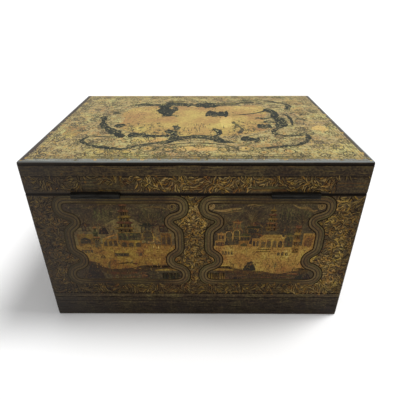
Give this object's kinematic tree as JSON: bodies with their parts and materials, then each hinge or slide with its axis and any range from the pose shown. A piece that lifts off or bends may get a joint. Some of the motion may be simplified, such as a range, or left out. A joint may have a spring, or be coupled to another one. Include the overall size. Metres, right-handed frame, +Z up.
{
  "type": "tea chest",
  "caption": "Lacquered wooden tea chest with gilt decoration, a hinged lid with stop hinges and a box lock, and lidded pewter canisters side by side inside.",
  "frame": {"origin": "middle of the underside of the case, on the surface that the chest stands on", "axes": "+X along the chest's width, to the right in the pictured view; +Y from the hinged side, which the picture shows, to the lock side; +Z up"},
  "size_m": [0.36, 0.2678, 0.2164],
  "materials": {
    "lacquer": "black lacquer with gilding, satin, worn",
    "lining_lacquer": "plain black lacquer, satin",
    "hinge_brass": "brass, darkened with age",
    "lock_brass": "brass, dull",
    "steel": "iron, dull",
    "pewter": "pewter, dull grey"
  },
  "bodies": {
    "case": {"bottom_board": "lacquer", "front_board": "lacquer", "back_board": "lacquer", "left_board": "lacquer", "right_board": "lacquer", "front_lining": "lining_lacquer", "back_lining": "lining_lacquer", "left_lining": "lining_lacquer", "right_lining": "lining_lacquer", "divider": "lining_lacquer", "left_case_leaf": "hinge_brass", "right_case_leaf": "hinge_brass", "left_hinge_pin": "steel", "right_hinge_pin": "steel", "case_leaf_screws": "steel", "lock_case": "lock_brass", "lock_cap": "lock_brass", "lock_spring": "steel", "lock_screws": "steel"},
    "lid": {"lid_top": "lacquer", "lid_front_rail": "lacquer", "lid_back_rail": "lacquer", "lid_left_rail": "lacquer", "lid_right_rail": "lacquer", "left_lid_leaf": "hinge_brass", "right_lid_leaf": "hinge_brass", "lid_leaf_screws": "steel", "strike_plate": "lock_brass", "strike_screws": "steel"},
    "bolt": {"lock_bolt": "lock_brass"},
    "left_canister": {"left_canister": "pewter", "left_inner_cap": "pewter"},
    "left_canister_lid": {"left_canister_lid": "pewter", "left_lid_knob": "pewter"},
    "right_canister": {"right_canister": "pewter", "right_inner_cap": "pewter"},
    "right_canister_lid": {"right_canister_lid": "pewter", "right_lid_knob": "pewter"}
  },
  "joints": [
    {"name": "lid_hinge", "type": "hinge", "parent": "case", "child": "lid", "pos_m": [0, -0.1337, 0.1792], "axis": [1, 0, 0], "range_deg": [0, 95]},
    {"name": "bolt_slide", "type": "slide", "parent": "case", "child": "bolt", "axis": [1, 0, 0], "range_m": [0, 0.005]},
    {"name": "left_canister_lift", "type": "slide", "parent": "case", "child": "left_canister", "axis": [0, 0, 1], "range_m": [0, 0.01]},
    {"name": "left_canister_lid_lift", "type": "slide", "parent": "left_canister", "child": "left_canister_lid", "axis": [0, 0, 1], "range_m": [0, 0.011]},
    {"name": "right_canister_lift", "type": "slide", "parent": "case", "child": "right_canister", "axis": [0, 0, 1], "range_m": [0, 0.01]},
    {"name": "right_canister_lid_lift", "type": "slide", "parent": "right_canister", "child": "right_canister_lid", "axis": [0, 0, 1], "range_m": [0, 0.011]}
  ]
}
